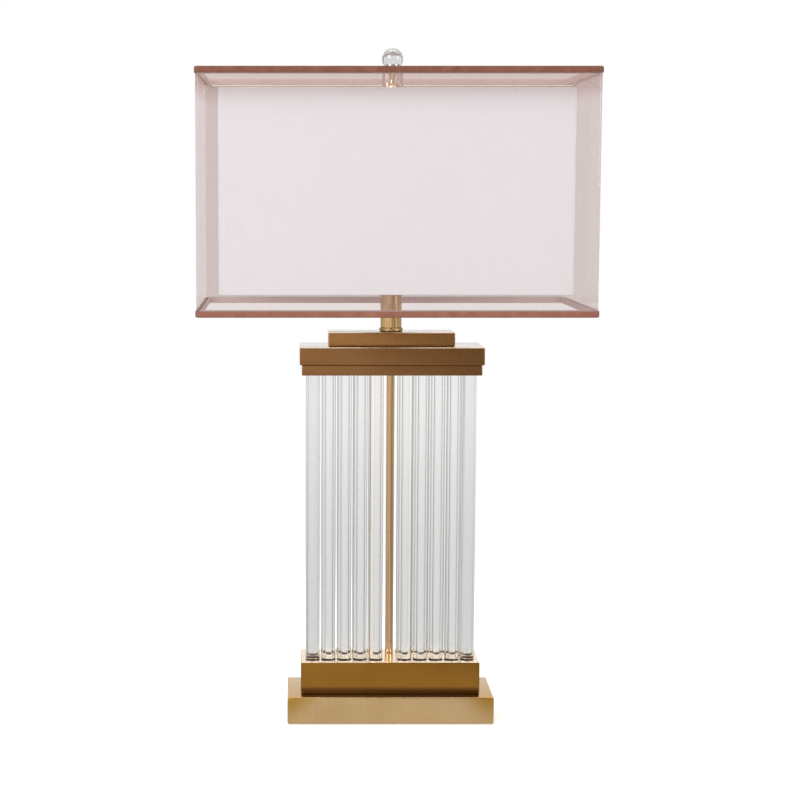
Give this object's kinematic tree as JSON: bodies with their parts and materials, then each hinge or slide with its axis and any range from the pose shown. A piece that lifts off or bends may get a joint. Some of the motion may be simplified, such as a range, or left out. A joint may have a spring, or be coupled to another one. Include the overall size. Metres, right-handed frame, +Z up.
{
  "type": "glass table lamp",
  "caption": "Table lamp with a column of clear glass rods between stepped brown brass plinths and a rectangular double shade in sheer rose cloth over a linen liner",
  "frame": {"origin": "centre of the underside of the felt pad, where the lamp stands", "axes": "+Z up along the pipe, -Y towards the front with the switch key, +X to the right seen from the front"},
  "size_m": [0.3932, 0.2334, 0.6947],
  "materials": {
    "felt": "matte wool felt",
    "cast_iron": "as cast",
    "pale_brass": "satin, pale",
    "brown_brass": "satin, antique brown",
    "bright_brass": "polished",
    "steel": "zinc plated",
    "dark_plastic": "moulded phenolic",
    "fibre": "vulcanised fibre",
    "clear_pad": "clear soft vinyl",
    "rod_glass": "clear, polished",
    "bulb_glass": "frosted",
    "ball_glass": "clear, polished",
    "frame_wire": "cream enamel on wire",
    "rose_sheer": "sheer cloth on clear glossy backing",
    "rose_tape": "folded ribbon",
    "linen": "cloth on white styrene"
  },
  "bodies": {
    "lamp": {"felt_pad": "felt", "base_weight": "cast_iron", "lower_plinth": "pale_brass", "upper_plinth": "brown_brass", "cord_bushing": "dark_plastic", "pipe_nut": "steel", "pipe_washer": "steel", "lamp_pipe": "bright_brass", "rod_pads": "clear_pad", "glass_rod_01": "rod_glass", "glass_rod_02": "rod_glass", "glass_rod_03": "rod_glass", "glass_rod_04": "rod_glass", "glass_rod_05": "rod_glass", "glass_rod_06": "rod_glass", "glass_rod_07": "rod_glass", "glass_rod_08": "rod_glass", "glass_rod_09": "rod_glass", "glass_rod_10": "rod_glass", "glass_rod_11": "rod_glass", "glass_rod_12": "rod_glass", "glass_rod_13": "rod_glass", "glass_rod_14": "rod_glass", "glass_rod_15": "rod_glass", "glass_rod_16": "rod_glass", "glass_rod_17": "rod_glass", "glass_rod_18": "rod_glass", "glass_rod_19": "rod_glass", "glass_rod_20": "rod_glass", "glass_rod_21": "rod_glass", "glass_rod_22": "rod_glass", "rod_holder": "brown_brass", "cap_block": "brown_brass", "cap_plate": "brown_brass", "neck_ring": "bright_brass", "neck_tube": "bright_brass", "harp_saddle": "steel", "harp": "bright_brass", "socket_cap": "bright_brass", "socket_shell": "bright_brass", "socket_insulator": "fibre", "socket_body": "dark_plastic", "socket_screw_shell": "bright_brass", "socket_contact": "bright_brass"},
    "ferrule_left": {"harp_ferrule_left": "bright_brass"},
    "ferrule_right": {"harp_ferrule_right": "bright_brass"},
    "switch": {"switch_key": "dark_plastic"},
    "bulb": {"bulb_cap": "steel", "bulb_glass": "bulb_glass"},
    "shade": {"shade_spider": "frame_wire", "shade_ring_top": "frame_wire", "liner_ring_top": "frame_wire", "shade_ring_bottom": "frame_wire", "shade_sheer": "rose_sheer", "shade_trim_top": "rose_tape", "shade_trim_bottom": "rose_tape", "liner_sheet": "linen", "liner_ring_bottom": "frame_wire"},
    "finial": {"finial_base": "bright_brass", "finial_ball": "ball_glass"}
  },
  "joints": [
    {"name": "shade_turn", "type": "hinge", "parent": "lamp", "child": "shade", "pos_m": [0, 0, 0.6559], "axis": [0, 0, 1], "continuous": true},
    {"name": "finial_turn", "type": "hinge", "parent": "lamp", "child": "finial", "pos_m": [0, 0, 0.6731], "axis": [0, 0, 1], "continuous": true},
    {"name": "bulb_turn", "type": "hinge", "parent": "lamp", "child": "bulb", "pos_m": [0, 0, 0.5056], "axis": [0, 0, 1], "continuous": true},
    {"name": "switch_turn", "type": "hinge", "parent": "lamp", "child": "switch", "pos_m": [0, -0.0221, 0.4756], "axis": [0, -1, 0], "continuous": true},
    {"name": "ferrule_left_slide", "type": "slide", "parent": "lamp", "child": "ferrule_left", "axis": [0, 0, 1], "range_m": [0, 0.016]},
    {"name": "ferrule_right_slide", "type": "slide", "parent": "lamp", "child": "ferrule_right", "axis": [0, 0, 1], "range_m": [0, 0.016]}
  ]
}
